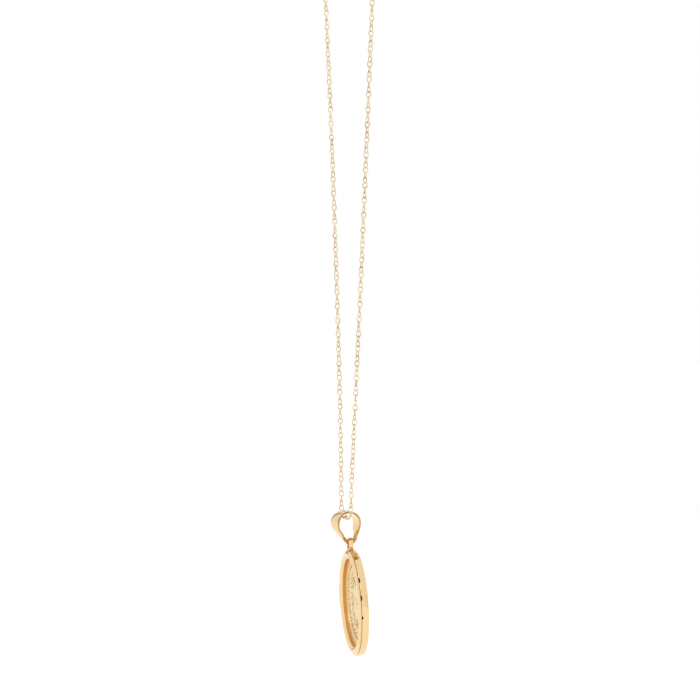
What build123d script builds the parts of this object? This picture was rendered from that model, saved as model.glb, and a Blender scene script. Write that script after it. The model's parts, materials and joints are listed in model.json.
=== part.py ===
from build123d import *
from math import atan2, ceil, cos, radians, sin, tan
import os

os.makedirs("parts", exist_ok=True)

# ---------------------------------------------------------------- driving dimensions (mm)
# Origin: the top of the chain loop, where it rests on a neck or a peg. The front is -Y, up is +Z.

# chain: fine cable chain, each link turned a sixth of a turn from the last
CHAIN_TURN = 9.0            # the chain's plane, turned about Z from the XZ plane
LINK_WIRE = 0.25
LINK_LENGTH = 1.68
LINK_WIDTH = 1.20
LINK_FACETS = 6             # faceted wire
LINK_ROLL = 60.0
MAX_PITCH = 1.16
CHAIN_TOP = 187.7           # height of the loop above the pendant's hanging point
ARC_SHARE = 0.45            # share of the shorter run that a corner's arc may take
EDGE_ARC = 1.4              # arc round the edge of the bail's band

# clasp: spring ring
RING_SLACK = 0.04
CLASP_RADIUS = 2.2
CLASP_TUBE = 1.1
CLASP_BORE = 0.76
CLASP_TRAVEL = 50.0
GATE_START = 20.0           # the mouth lies between these angles of the ring, degrees
GATE_END = 76.0
SLOT_WIDTH = 0.5
SLOT_START = 4.0            # the slot begins this far past the mouth, degrees
SLOT_SPARE = 18.0           # slot length beyond the bolt's travel, degrees
BOLT_WIRE = 0.66
BOLT_NOSE = 6.0             # length of bolt in the far end of the mouth, degrees
BOLT_TAIL = 62.0            # length of bolt kept inside the tube when it is shut, degrees
KNOB_ANGLE = 12.0
KNOB_STEM = 0.34
KNOB_BALL = 0.56
KNOB_RISE = 0.95            # ball's middle outside the tube's own centre line
SPRING_GAP = 4.0
SPRING_ARC = 90.0
SPRING_WALL = 0.1
TAG_RADIUS = 1.6
TAG_WIRE = 0.45
EYE_RADIUS = 0.65
EYE_WIRE = 0.35
EYE_SINK = 0.12             # depth the eye sinks into the tube it is soldered to
CONNECTOR_RADIUS = 1.0

# bail: tapered teardrop loop
BAIL_LEAN = 16.0
BAIL_TOP_RADIUS = 3.15
BAIL_BOTTOM_RADIUS = 1.75
BAIL_SHEET = 0.5
BAIL_SEAT_RADIUS = 0.95     # the hollow that the ring slides in
BAIL_SEAT_DROP = 3.2
BAIL_BOTTOM_DROP = 3.45
BAIL_WIDTH = 5.0
BAIL_CROWN = (2.05, 3.3)    # half-width and height above the bail's middle, crown to foot
BAIL_FLANK = [(2.5, 1.0), (2.15, -1.0), (1.95, -2.1), (1.65, -2.8)]
BAIL_HEEL = (1.02, -3.2)
BAIL_FOOT = (0.4, -3.5)
BAIL_END = -5.4
BAIL_CENTRE = Vector(0, -1.05, -189.65)

# hanging ring on the case
RING_HOLE = 1.15
RING_SHEET = 0.55
RING_BAND = 1.05
RING_ROUNDING = 0.2
RING_BACK = 0.36            # ring's middle plane behind the parting line
SEAT_GAP = 0.15
SADDLE_THICKNESS = 0.16
SADDLE_BAND = 1.0
SADDLE_BACK = 0.56          # the pad stands wholly on the case, clear of the lid
SADDLE_SPREAD = 16.0

# locket: a thin round case with a low domed back
PENDANT_LEAN = 2.9
PENDANT_DROP = 15.72        # case centre below the ring's pivot
CASE_RADIUS = 12.5
CASE_WALL = 0.6
CASE_SHOULDER = 1.25        # depth of the straight side wall
CASE_EDGE_DEPTH = 1.75      # depth where the rounded edge meets the domed back
CASE_EDGE_RADIUS = 12.08
LINING_EDGE_RADIUS = 11.62
BACK_DEPTH = 2.85
BACK_SHEET = 0.35
PARTING_GAP = 0.04
LID_CREST = 0.62
LID_SHOULDER = 0.16         # height of the rim's outer edge above the parting line
LID_INNER_EDGE = 0.12
LID_OPENING = 10.4
FLANGE_RADIUS = 11.75
FLANGE_DEPTH = 0.75
FLANGE_WALL = 0.35
RECESS_WALL = 0.35
LEDGE_WIDTH = 0.4
LEDGE_HEIGHT = 0.25
PLATE_THICKNESS = 0.15
PLATE_FACE = -1.33
RELIEF_HEIGHT = 0.36
BORDER_BAND = 0.8
BORDER_STEP = 0.08
BEAD_COUNT = 66
BEAD_RADIUS = 0.36
BEAD_RISE = 0.24
ROSETTE_RING = 7.6
ROSETTE_BAND = 0.4
PETALS = 8
PETAL_CENTRE = 4.4
PETAL_LENGTH = 4.6
PETAL_BREADTH = 2.2
BOSS_RADIUS = 1.8
SEATED = (Align.CENTER, Align.CENTER, Align.MIN)

# inside: photograph, window and ring in the domed back
PHOTO_RADIUS = 8.0
PHOTO_DEPTH = 1.9
PHOTO_THICKNESS = 0.06
WINDOW_THICKNESS = 0.12
FRAME_INNER = 7.6
FRAME_OUTER = 9.0
FRAME_LIP = 0.1

# hinge
HINGE_X = -13.12
PIN_RADIUS = 0.2
KNUCKLE_BORE = 0.24
KNUCKLE_RADIUS = 0.5
KNUCKLE_LENGTH = 1.6
KNUCKLE_GAP = 0.08
LEAF = 0.3
PIN_HEAD_RADIUS = 0.34
PIN_HEAD = 0.12

# catch
STRIKE_WIDTH = 3.2
TONGUE_WIDTH = 2.6
STRIKE_RISE = 0.06
STRIKE_HEIGHTS = (-0.4, -0.2)
TONGUE_HEIGHTS = (-0.7, -0.5)
CATCH_CLEARANCE = 0.03
NAIL_NICK = 2.0
NICK_RADIUS = 0.6
NICK_OFFSET = 0.45          # the nick's middle stands this far outside the wall


# ---------------------------------------------------------------- frames
def turned(plane, angle):
    """The plane turned about its own normal, degrees."""
    turn = radians(angle)
    return Plane(
        origin=plane.origin,
        x_dir=plane.x_dir * cos(turn) + plane.y_dir * sin(turn),
        z_dir=plane.z_dir,
    )


chain_plane = Plane(
    origin=(0, 0, 0),
    x_dir=Vector(cos(radians(CHAIN_TURN)), sin(radians(CHAIN_TURN)), 0),
    z_dir=Vector(sin(radians(CHAIN_TURN)), -cos(radians(CHAIN_TURN)), 0),
)
along = chain_plane.x_dir
across = chain_plane.z_dir

# bail profile: local x runs front to back, local y up the leaning bail, local z across the band
bail_plane = turned(Plane(origin=BAIL_CENTRE, x_dir=-across, z_dir=along), BAIL_LEAN)
pivot = bail_plane.from_local_coords(Vector(0, -BAIL_SEAT_DROP, 0))

# locket: local x to the catch side, local y up the leaning disc, local z out of the front
lean = radians(PENDANT_LEAN)
front = Vector(0, -cos(lean), -sin(lean))
upward = Vector(0, -sin(lean), cos(lean))
disc_centre = pivot + front * RING_BACK - upward * PENDANT_DROP
disc_plane = Plane(origin=disc_centre, x_dir=(1, 0, 0), z_dir=front)
profile_plane = Plane(origin=disc_centre, x_dir=(1, 0, 0), z_dir=-upward)
disc_axis = Axis(disc_centre, front)


def face_plane(height):
    """A plane parallel to the locket's face, at a height in front of the parting line."""
    return disc_plane.offset(height)


def finish(piece, label):
    piece.part.label = label
    export_step(piece.part, f"parts/{label}.step")


# ---------------------------------------------------------------- chain
# Route from one end of the clasp round through the bail to the other: distance along the
# chain's plane, height above the hanging point, and set-back from that plane.
ROUTE = [
    (-4.69, 187.70, 0.00),
    (-7.70, 187.70, 0.00),
    (-13.4, 185.20, -0.04),
    (-18.2, 179.60, -0.10),
    (-20.9, 172.00, -0.18),
    (-21.4, 164.00, -0.26),
    (-19.5, 148.00, -0.36),
    (-16.1, 122.00, -0.42),
    (-10.5, 75.00, -0.30),
    (-5.30, 27.00, -0.66),
    (-3.60, 7.50, -0.98),
    (-3.18, -0.60, -1.05),
    (3.18, -0.60, -1.05),
    (3.60, 7.50, -0.98),
    (5.30, 27.00, -0.66),
    (10.5, 75.00, -0.30),
    (16.1, 122.00, -0.42),
    (19.5, 148.00, -0.36),
    (21.4, 164.00, -0.26),
    (20.9, 172.00, -0.18),
    (18.2, 179.60, -0.10),
    (13.4, 185.20, -0.04),
    (7.70, 187.70, 0.00),
    (4.60, 187.70, 0.00),
]


def route_points():
    """The route's corners in the model's frame."""
    return [along * s + Vector(0, y, h - CHAIN_TOP) for s, h, y in ROUTE]


def corner_radii(points):
    """The largest arc that fits each corner's two runs."""
    radii = []
    for before, corner, after in zip(points, points[1:], points[2:]):
        first = corner - before
        second = after - corner
        half_turn = radians(first.get_angle(second)) / 2
        shorter = min(first.length, second.length)
        fitting = ARC_SHARE * shorter / tan(half_turn)
        at_bail_edge = corner.Z < BAIL_CENTRE.Z + BAIL_TOP_RADIUS
        radii.append(min(fitting, EDGE_ARC) if at_bail_edge else fitting)
    return radii


corners = route_points()
radii = corner_radii(corners)
print("route radii", [round(r, 1) for r in radii])
with BuildLine() as route:
    FilletPolyline(*corners, radius=radii)
chain_wire = route.wire()
chain_length = chain_wire.length
link_steps = 6 * ceil((chain_length - LINK_LENGTH) / MAX_PITCH / 6)
pitch = (chain_length - LINK_LENGTH) / link_steps
print("chain length", round(chain_length, 1), "links", link_steps + 1, "pitch", round(pitch, 3))


def link_place(index):
    """Where one link lies: on the route, turned about it by its share."""
    distance = LINK_LENGTH / 2 + index * pitch
    spot = chain_wire.position_at(distance, position_mode=PositionMode.LENGTH)
    heading = chain_wire.tangent_at(distance, position_mode=PositionMode.LENGTH)
    side = (across - heading * across.dot(heading)).normalized()
    base = Plane(origin=spot, x_dir=side, z_dir=heading)
    return turned(base, index * LINK_ROLL).location


with BuildPart() as link:
    bend = (LINK_WIDTH - LINK_WIRE) / 2
    straight = LINK_LENGTH - LINK_WIDTH
    with BuildLine(Plane.YZ) as link_path:
        one_side = Line((bend, -straight / 2), (bend, straight / 2))
        ThreePointArc(one_side @ 1, (0, straight / 2 + bend), (-bend, straight / 2))
        other_side = Line((-bend, straight / 2), (-bend, -straight / 2))
        ThreePointArc(other_side @ 1, (0, -straight / 2 - bend), one_side @ 0)
    with BuildSketch(Plane.XY.offset(-straight / 2)):
        with Locations((0, bend)):
            RegularPolygon(LINK_WIRE / 2, LINK_FACETS)
    sweep()

middle_link = link_steps // 2
for label, first, last in (
    ("chain_left", 0, middle_link),
    ("chain_right", middle_link, link_steps + 1),
):
    places = [link_place(index) for index in range(first, last)]
    links = Compound(label=label, children=[link.part.solid().moved(place) for place in places])
    export_step(links, f"parts/{label}.step")


# ---------------------------------------------------------------- clasp
def torus_at(distance, ring_radius, wire, normal):
    """A closed ring of wire on the top run of the chain."""
    place = Plane(origin=along * distance, x_dir=along, z_dir=normal)
    with BuildPart(place) as ring:
        Torus(ring_radius, wire / 2)
    return ring


up = Vector(0, 0, 1)
tag_wire_x = ROUTE[-1][0] + LINK_WIRE + TAG_WIRE / 2 + RING_SLACK
tag_x = tag_wire_x - TAG_RADIUS
clasp_x = tag_x - TAG_RADIUS + TAG_WIRE / 2 + CLASP_TUBE / 2 + RING_SLACK - CLASP_RADIUS
eye_x = clasp_x - CLASP_RADIUS - CLASP_TUBE / 2 - EYE_RADIUS - EYE_WIRE / 2 + EYE_SINK
connector_x = ROUTE[0][0] - LINK_WIRE - EYE_WIRE / 2 - RING_SLACK + CONNECTOR_RADIUS

tag_ring = torus_at(tag_x, TAG_RADIUS, TAG_WIRE, up)
finish(tag_ring, "tag_ring")
connector_ring = torus_at(connector_x, CONNECTOR_RADIUS, EYE_WIRE, up)
finish(connector_ring, "connector_ring")

clasp_plane = Plane(origin=along * clasp_x, x_dir=along, z_dir=across)
clasp_axis = Axis(clasp_plane.origin, clasp_plane.z_dir)
clasp_gate = GATE_END - GATE_START


def clasp_section(angle):
    """The plane across the clasp's tube at an angle round the ring."""
    ring_plane = turned(clasp_plane, angle)
    centre = ring_plane.from_local_coords(Vector(CLASP_RADIUS, 0, 0))
    return Plane(origin=centre, x_dir=ring_plane.x_dir, z_dir=-ring_plane.y_dir)


with BuildPart() as clasp_body:
    with BuildSketch(clasp_section(GATE_END)):
        Circle(CLASP_TUBE / 2)
        Circle(CLASP_BORE / 2, mode=Mode.SUBTRACT)
    revolve(axis=clasp_axis, revolution_arc=360 - clasp_gate)
    # slot for the thumb knob, on the tube's outer side
    with BuildSketch(clasp_section(GATE_END + SLOT_START)):
        with Locations((CLASP_TUBE / 2, 0)):
            Rectangle(CLASP_TUBE, SLOT_WIDTH)
    revolve(axis=clasp_axis, revolution_arc=CLASP_TRAVEL + SLOT_SPARE, mode=Mode.SUBTRACT)
finish(clasp_body, "clasp_body")

with BuildPart() as clasp_eye:
    with Locations(Plane(origin=along * eye_x, x_dir=along, z_dir=across)):
        Torus(EYE_RADIUS, EYE_WIRE / 2)
    with Locations(clasp_plane):
        Torus(CLASP_RADIUS, CLASP_TUBE / 2, mode=Mode.SUBTRACT)
finish(clasp_eye, "clasp_eye")

with BuildPart() as clasp_bolt:
    with BuildSketch(clasp_section(GATE_START - BOLT_NOSE)):
        Circle(BOLT_WIRE / 2)
    revolve(axis=clasp_axis, revolution_arc=clasp_gate + BOLT_TAIL)
    knob_plane = turned(clasp_plane, GATE_END + KNOB_ANGLE)
    knob_base = knob_plane.from_local_coords(Vector(CLASP_RADIUS + BOLT_WIRE / 4, 0, 0))
    with BuildSketch(Plane(origin=knob_base, x_dir=knob_plane.z_dir, z_dir=knob_plane.x_dir)):
        Circle(KNOB_STEM / 2)
    extrude(amount=KNOB_RISE - KNOB_STEM / 2)
    knob_top = knob_plane.from_local_coords(Vector(CLASP_RADIUS + KNOB_RISE, 0, 0))
    with Locations(Plane(origin=knob_top, z_dir=knob_plane.x_dir)):
        Sphere(KNOB_BALL / 2)
finish(clasp_bolt, "clasp_bolt")

with BuildPart() as clasp_spring:
    bolt_end = GATE_END - BOLT_NOSE + BOLT_TAIL
    with BuildSketch(clasp_section(bolt_end + CLASP_TRAVEL + SPRING_GAP)):
        Circle(BOLT_WIRE / 2)
        Circle(BOLT_WIRE / 2 - SPRING_WALL, mode=Mode.SUBTRACT)
    revolve(axis=clasp_axis, revolution_arc=SPRING_ARC)
finish(clasp_spring, "clasp_spring")

# ---------------------------------------------------------------- bail
def loop_sides(big, small, drop):
    """The two tangent points on each circle of a teardrop, right-hand side."""
    slope = atan2(big - small, (drop**2 - (big - small) ** 2) ** 0.5)
    high = Vector(big * cos(slope), -big * sin(slope))
    low = Vector(small * cos(slope), -drop - small * sin(slope))
    return high, low


def teardrop(big, small, drop):
    """A closed teardrop: big round top at the origin, small round bottom below it."""
    high, low = loop_sides(big, small, drop)
    with BuildSketch(bail_plane) as outline:
        with BuildLine():
            right = Line((high.X, high.Y), (low.X, low.Y))
            ThreePointArc(right @ 1, (0, -drop - small), (-low.X, low.Y))
            left = Line((-low.X, low.Y), (-high.X, high.Y))
            ThreePointArc(left @ 1, (0, big), right @ 0)
        make_face()
    return outline.sketch


with BuildPart() as bail:
    outside = teardrop(BAIL_TOP_RADIUS, BAIL_BOTTOM_RADIUS, BAIL_BOTTOM_DROP)
    extrude(outside, amount=BAIL_WIDTH / 2, both=True)
    inside = teardrop(BAIL_TOP_RADIUS - BAIL_SHEET, BAIL_SEAT_RADIUS, BAIL_SEAT_DROP)
    extrude(inside, amount=BAIL_WIDTH, both=True, mode=Mode.SUBTRACT)
    # seen from the front the band narrows from the crown to a slim foot
    facing = Plane(origin=bail_plane.origin, x_dir=bail_plane.z_dir, z_dir=-bail_plane.x_dir)
    with BuildSketch(facing):
        with BuildLine():
            crown, top = BAIL_CROWN
            foot, ankle = BAIL_FOOT
            shoulder = Spline(BAIL_CROWN, *BAIL_FLANK)
            heel = Spline(shoulder @ 1, BAIL_HEEL, BAIL_FOOT, tangents=(shoulder % 1, (0, -1)))
            Polyline(heel @ 1, (foot, BAIL_END), (-foot, BAIL_END), (-foot, ankle))
            mirror([shoulder, heel], about=Plane.YZ)
            Line((-crown, top), (crown, top))
        make_face()
    extrude(amount=BAIL_TOP_RADIUS + 1, both=True, mode=Mode.INTERSECT)
finish(bail, "bail")

# ---------------------------------------------------------------- case
wall_inside = CASE_RADIUS - CASE_WALL
edge_inside = CASE_EDGE_DEPTH - BACK_SHEET
shoulder_inside = CASE_SHOULDER - BACK_SHEET / 2

with BuildPart() as case_back:
    with BuildSketch(profile_plane):
        with BuildLine():
            wall = Line((CASE_RADIUS, 0), (CASE_RADIUS, -CASE_SHOULDER))
            edge = TangentArc(wall @ 1, (CASE_EDGE_RADIUS, -CASE_EDGE_DEPTH), tangent=wall % 1)
            back = Spline(edge @ 1, (0, -BACK_DEPTH), tangents=(edge % 1, (-1, 0)))
            Line((0, -BACK_DEPTH), (0, BACK_SHEET - BACK_DEPTH))
            lining = Line((wall_inside, 0), (wall_inside, -shoulder_inside))
            turn = TangentArc(lining @ 1, (LINING_EDGE_RADIUS, -edge_inside), tangent=lining % 1)
            Spline(turn @ 1, (0, BACK_SHEET - BACK_DEPTH), tangents=(turn % 1, (-1, 0)))
            Line((wall_inside, 0), (CASE_RADIUS, 0))
        make_face()
    revolve(axis=disc_axis)
    # nail nick in the parting edge, at the catch side
    nick_plane = Plane(origin=disc_plane.from_local_coords(Vector(CASE_RADIUS + NICK_OFFSET, 0, 0)))
    with Locations(nick_plane):
        Cylinder(NICK_RADIUS, NAIL_NICK, mode=Mode.SUBTRACT)
finish(case_back, "case_back")

with BuildPart() as ring_saddle:
    with BuildSketch(disc_plane.offset(-SADDLE_BACK - SADDLE_BAND / 2)):
        Circle(CASE_RADIUS + SADDLE_THICKNESS)
        Circle(CASE_RADIUS, mode=Mode.SUBTRACT)
        with Locations((0, CASE_RADIUS)):
            reach = CASE_RADIUS * sin(radians(SADDLE_SPREAD / 2))
            Rectangle(2 * reach, 2, mode=Mode.INTERSECT)
    extrude(amount=SADDLE_BAND)
finish(ring_saddle, "ring_saddle")

ring_mid = RING_HOLE + RING_SHEET / 2
ring_centre = pivot - upward * (BAIL_SEAT_RADIUS - SEAT_GAP + RING_HOLE)
with BuildPart() as hanging_ring:
    with BuildSketch(Plane(origin=ring_centre + upward * ring_mid, x_dir=upward, z_dir=(1, 0, 0))):
        RectangleRounded(RING_SHEET, RING_BAND, RING_ROUNDING)
    revolve(axis=Axis(ring_centre, front))
    with BuildSketch(disc_plane.offset(-RING_BACK - RING_BAND)):
        Circle(CASE_RADIUS + SADDLE_THICKNESS)
    extrude(amount=2 * RING_BAND, mode=Mode.SUBTRACT)
finish(hanging_ring, "hanging_ring")

# ---------------------------------------------------------------- hinge
hinge_origin = disc_plane.from_local_coords(Vector(HINGE_X, 0, 0))
knuckle_step = KNUCKLE_LENGTH + KNUCKLE_GAP
outer_step = [-knuckle_step, knuckle_step]


def barrel_at(height):
    """A plane across the hinge line, at a height above the disc's middle."""
    return Plane(origin=hinge_origin + upward * height, x_dir=(1, 0, 0), z_dir=upward)


def knuckle(height, side):
    """One knuckle and its leaf; side is 1 for the lid and -1 for the case."""
    with BuildSketch(barrel_at(height - KNUCKLE_LENGTH / 2)) as section:
        Circle(KNUCKLE_RADIUS)
        with Locations((KNUCKLE_RADIUS, -side * (KNUCKLE_RADIUS - LEAF / 2))):
            Rectangle(2 * KNUCKLE_RADIUS, LEAF)
        Circle(KNUCKLE_BORE, mode=Mode.SUBTRACT)
    extrude(section.sketch, amount=KNUCKLE_LENGTH)


with BuildPart() as case_knuckles:
    for height in outer_step:
        knuckle(height, -1)
    add(case_back.part, mode=Mode.SUBTRACT)
finish(case_knuckles, "case_knuckles")

pin_length = 3 * KNUCKLE_LENGTH + 2 * KNUCKLE_GAP
with BuildPart() as hinge_pin:
    with BuildSketch(barrel_at(-pin_length / 2)):
        Circle(PIN_RADIUS)
    extrude(amount=pin_length)
    for end in (-1, 1):
        with BuildSketch(barrel_at(end * pin_length / 2)):
            Circle(PIN_HEAD_RADIUS)
        extrude(amount=end * PIN_HEAD)
finish(hinge_pin, "hinge_pin")

# ---------------------------------------------------------------- lid
rim_middle = (CASE_RADIUS + LID_OPENING) / 2
recess_outside = LID_OPENING + RECESS_WALL
with BuildPart() as lid_rim:
    with BuildSketch(profile_plane):
        with BuildLine():
            outer = Line((CASE_RADIUS, PARTING_GAP), (CASE_RADIUS, LID_SHOULDER))
            dome = ThreePointArc(outer @ 1, (rim_middle, LID_CREST), (LID_OPENING, LID_INNER_EDGE))
            Polyline(
                dome @ 1,
                (LID_OPENING, PLATE_FACE + LEDGE_HEIGHT),
                (LID_OPENING - LEDGE_WIDTH, PLATE_FACE + LEDGE_HEIGHT),
                (LID_OPENING - LEDGE_WIDTH, PLATE_FACE),
                (recess_outside, PLATE_FACE),
                (recess_outside, PARTING_GAP),
                (FLANGE_RADIUS - FLANGE_WALL, PARTING_GAP),
                (FLANGE_RADIUS - FLANGE_WALL, -FLANGE_DEPTH),
                (FLANGE_RADIUS, -FLANGE_DEPTH),
                (FLANGE_RADIUS, PARTING_GAP),
                (CASE_RADIUS, PARTING_GAP),
            )
        make_face()
    revolve(axis=disc_axis)
finish(lid_rim, "lid_rim")

with BuildPart() as relief_plate:
    with BuildSketch(face_plane(PLATE_FACE - PLATE_THICKNESS)):
        Circle(recess_outside)
    extrude(amount=PLATE_THICKNESS)
    # raised rosette: a plain ring, eight petals and a round boss
    with BuildSketch(face_plane(PLATE_FACE)):
        Circle(ROSETTE_RING + ROSETTE_BAND / 2)
        Circle(ROSETTE_RING - ROSETTE_BAND / 2, mode=Mode.SUBTRACT)
    extrude(amount=RELIEF_HEIGHT / 2)
    with BuildSketch(face_plane(PLATE_FACE)):
        with PolarLocations(PETAL_CENTRE, PETALS):
            Ellipse(PETAL_LENGTH / 2, PETAL_BREADTH / 2)
    extrude(amount=RELIEF_HEIGHT / 2)
    with Locations(face_plane(PLATE_FACE)):
        Cone(BOSS_RADIUS, BOSS_RADIUS / 2, RELIEF_HEIGHT, align=SEATED)
finish(relief_plate, "relief_plate")

with BuildPart() as bead_border:
    border_radius = LID_OPENING - LEDGE_WIDTH
    bead_circle = border_radius - BORDER_BAND / 2
    with BuildSketch(face_plane(PLATE_FACE)):
        Circle(border_radius)
        Circle(border_radius - BORDER_BAND, mode=Mode.SUBTRACT)
    extrude(amount=BORDER_STEP)
    with Locations(face_plane(PLATE_FACE + BORDER_STEP)):
        with PolarLocations(bead_circle, BEAD_COUNT):
            Cone(BEAD_RADIUS, BEAD_RADIUS / 2, BEAD_RISE, align=SEATED)
finish(bead_border, "bead_border")

with BuildPart() as lid_knuckle:
    knuckle(0, 1)
    add(lid_rim.part, mode=Mode.SUBTRACT)
finish(lid_knuckle, "lid_knuckle")

# ---------------------------------------------------------------- inside the case
with BuildPart() as photo_card:
    with BuildSketch(face_plane(-PHOTO_DEPTH)):
        Circle(PHOTO_RADIUS)
    extrude(amount=PHOTO_THICKNESS)
finish(photo_card, "photo_card")

with BuildPart() as photo_window:
    with BuildSketch(face_plane(PHOTO_THICKNESS - PHOTO_DEPTH)):
        Circle(PHOTO_RADIUS)
    extrude(amount=WINDOW_THICKNESS)
finish(photo_window, "photo_window")

# the ring's foot follows the domed back, and its lip holds the window down
with BuildPart() as photo_frame:
    cover = PHOTO_THICKNESS + WINDOW_THICKNESS
    with BuildSketch(profile_plane):
        with BuildLine():
            Polyline(
                (FRAME_OUTER, -PHOTO_DEPTH - FRAME_LIP),
                (FRAME_OUTER, cover + FRAME_LIP - PHOTO_DEPTH),
                (FRAME_INNER, cover + FRAME_LIP - PHOTO_DEPTH),
                (FRAME_INNER, cover - PHOTO_DEPTH),
                (PHOTO_RADIUS, cover - PHOTO_DEPTH),
                (PHOTO_RADIUS, -PHOTO_DEPTH - FRAME_LIP),
                (FRAME_OUTER, -PHOTO_DEPTH - FRAME_LIP),
            )
        make_face()
    revolve(axis=disc_axis)
    add(case_back.part, mode=Mode.SUBTRACT)
finish(photo_frame, "photo_frame")

# ---------------------------------------------------------------- catch
def catch_blank(inner, outer, heights, width):
    """A short curved bar on the catch side, between two radii and two heights."""
    low, high = heights
    with BuildSketch(face_plane(low)) as section:
        Circle(outer)
        Circle(inner, mode=Mode.SUBTRACT)
        with Locations((wall_inside, 0)):
            Rectangle(3, width, mode=Mode.INTERSECT)
    extrude(section.sketch, amount=high - low)


with BuildPart() as catch_strike:
    catch_blank(wall_inside - STRIKE_RISE, wall_inside, STRIKE_HEIGHTS, STRIKE_WIDTH)
finish(catch_strike, "catch_strike")

with BuildPart() as catch_tongue:
    tongue_face = wall_inside - STRIKE_RISE - CATCH_CLEARANCE
    catch_blank(FLANGE_RADIUS, tongue_face, TONGUE_HEIGHTS, TONGUE_WIDTH)
finish(catch_tongue, "catch_tongue")
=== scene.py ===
import json
import math

import bmesh
import bpy
import numpy as np
from mathutils import Matrix, Vector


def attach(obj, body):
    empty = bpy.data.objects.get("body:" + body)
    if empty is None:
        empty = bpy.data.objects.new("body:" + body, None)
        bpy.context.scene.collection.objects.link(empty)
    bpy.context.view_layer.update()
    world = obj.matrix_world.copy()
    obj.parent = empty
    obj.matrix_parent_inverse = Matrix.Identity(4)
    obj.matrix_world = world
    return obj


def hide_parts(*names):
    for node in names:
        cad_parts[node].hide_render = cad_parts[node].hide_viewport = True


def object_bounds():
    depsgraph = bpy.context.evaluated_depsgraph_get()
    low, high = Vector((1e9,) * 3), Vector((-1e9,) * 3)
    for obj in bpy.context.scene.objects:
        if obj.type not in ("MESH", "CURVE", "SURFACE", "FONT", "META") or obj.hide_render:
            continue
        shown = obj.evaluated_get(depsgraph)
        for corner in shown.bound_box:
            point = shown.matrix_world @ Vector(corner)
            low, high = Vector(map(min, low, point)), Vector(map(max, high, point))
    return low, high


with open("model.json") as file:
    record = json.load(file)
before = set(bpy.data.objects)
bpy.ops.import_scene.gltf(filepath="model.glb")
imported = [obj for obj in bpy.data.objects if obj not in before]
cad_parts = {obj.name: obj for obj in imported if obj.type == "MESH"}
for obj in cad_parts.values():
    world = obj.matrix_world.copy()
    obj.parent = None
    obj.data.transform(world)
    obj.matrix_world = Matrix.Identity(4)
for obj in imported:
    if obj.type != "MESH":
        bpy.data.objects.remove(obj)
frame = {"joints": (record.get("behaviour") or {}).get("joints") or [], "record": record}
cad_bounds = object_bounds()
MM = 0.001

# -------------------- shared sizes, in mm
BACK_DEPTH = 2.85           # the middle of the domed back, behind the parting plane
CASE_RADIUS = 12.5
WALL_INSIDE = 11.9
PLATE_FACE = -1.33          # the relief's ground
PINHOLE = 0.02              # radius at which the locket's round plates close
NEAR_AXIS = 0.001           # the same for the small turned pieces

# -------------------- places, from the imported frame
joints = {joint["name"]: joint for joint in frame["joints"]}
mounts = {mount["name"]: mount for mount in frame["record"]["mounts"]}
FRONT = -Vector(mounts["back_rest"]["axis"])
UP = -Vector(joints["lid_hinge"]["axis"])
SIDE = Vector((1, 0, 0))
RISE = Vector((0, 0, 1))
DISC_CENTRE = Vector(mounts["back_rest"]["pos_m"]) + FRONT * BACK_DEPTH * MM
HINGE = Vector(joints["lid_hinge"]["pos_m"])
ALONG = Vector(joints["bail_swing"]["axis"])
ACROSS = Vector(joints["clasp_gate"]["axis"])
BAIL_CENTRE = Vector(joints["bail_swing"]["pos_m"])
SEAT = Vector(joints["case_swing"]["pos_m"])
CLASP_CENTRE = Vector(joints["clasp_gate"]["pos_m"])


def on_disc(across, up, out):
    """A point of the locket: mm towards the catch, up the disc and out of the parting plane."""
    return DISC_CENTRE + (SIDE * across + UP * up + FRONT * out) * MM


# -------------------- camera, in metres
CAMERA_TURN = math.radians(79)
CAMERA_DISTANCE = 0.417
PICTURE_HEIGHT = 0.1651
SENSOR = 36
AIM = Vector((0, -0.0001, -0.1488))
TOWARDS_CAMERA = Vector((math.sin(CAMERA_TURN), -math.cos(CAMERA_TURN), 0))


def set_camera():
    """The picture's level view, almost edge on to the locket."""
    data = bpy.data.cameras.new("camera")
    data.sensor_width = SENSOR
    data.lens = SENSOR * CAMERA_DISTANCE / PICTURE_HEIGHT
    data.clip_start = 0.01
    camera = bpy.data.objects.new("camera", data)
    camera.location = AIM + TOWARDS_CAMERA * CAMERA_DISTANCE
    camera.rotation_euler = TOWARDS_CAMERA.to_track_quat("Z", "Y").to_euler()
    bpy.context.scene.collection.objects.link(camera)
    bpy.context.scene.camera = camera


set_camera()


# -------------------- mesh helpers
def make_mesh(name, points, faces):
    """A smooth-shaded object from points in metres, its faces turned outwards."""
    data = bpy.data.meshes.new(name)
    data.from_pydata([tuple(point) for point in points], [], faces)
    shell = bmesh.new()
    shell.from_mesh(data)
    bmesh.ops.recalc_face_normals(shell, faces=shell.faces)
    shell.to_mesh(data)
    shell.free()
    for polygon in data.polygons:
        polygon.use_smooth = True
    data.set_sharp_from_angle(angle=math.radians(42))
    piece = bpy.data.objects.new(name, data)
    bpy.context.scene.collection.objects.link(piece)
    return piece


def merged(*parts):
    """Several (points, faces) shells as one."""
    points = []
    faces = []
    for some_points, some_faces in parts:
        start = len(points)
        points += some_points
        faces += [tuple(start + corner for corner in face) for face in some_faces]
    return points, faces


def grid_faces(rows, columns, wrap_rows, wrap_columns):
    """Quads over a grid of points stored row by row."""
    faces = []
    for i in range(rows if wrap_rows else rows - 1):
        for j in range(columns if wrap_columns else columns - 1):
            i2 = (i + 1) % rows
            j2 = (j + 1) % columns
            faces.append((i * columns + j, i2 * columns + j, i2 * columns + j2, i * columns + j2))
    return faces


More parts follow.
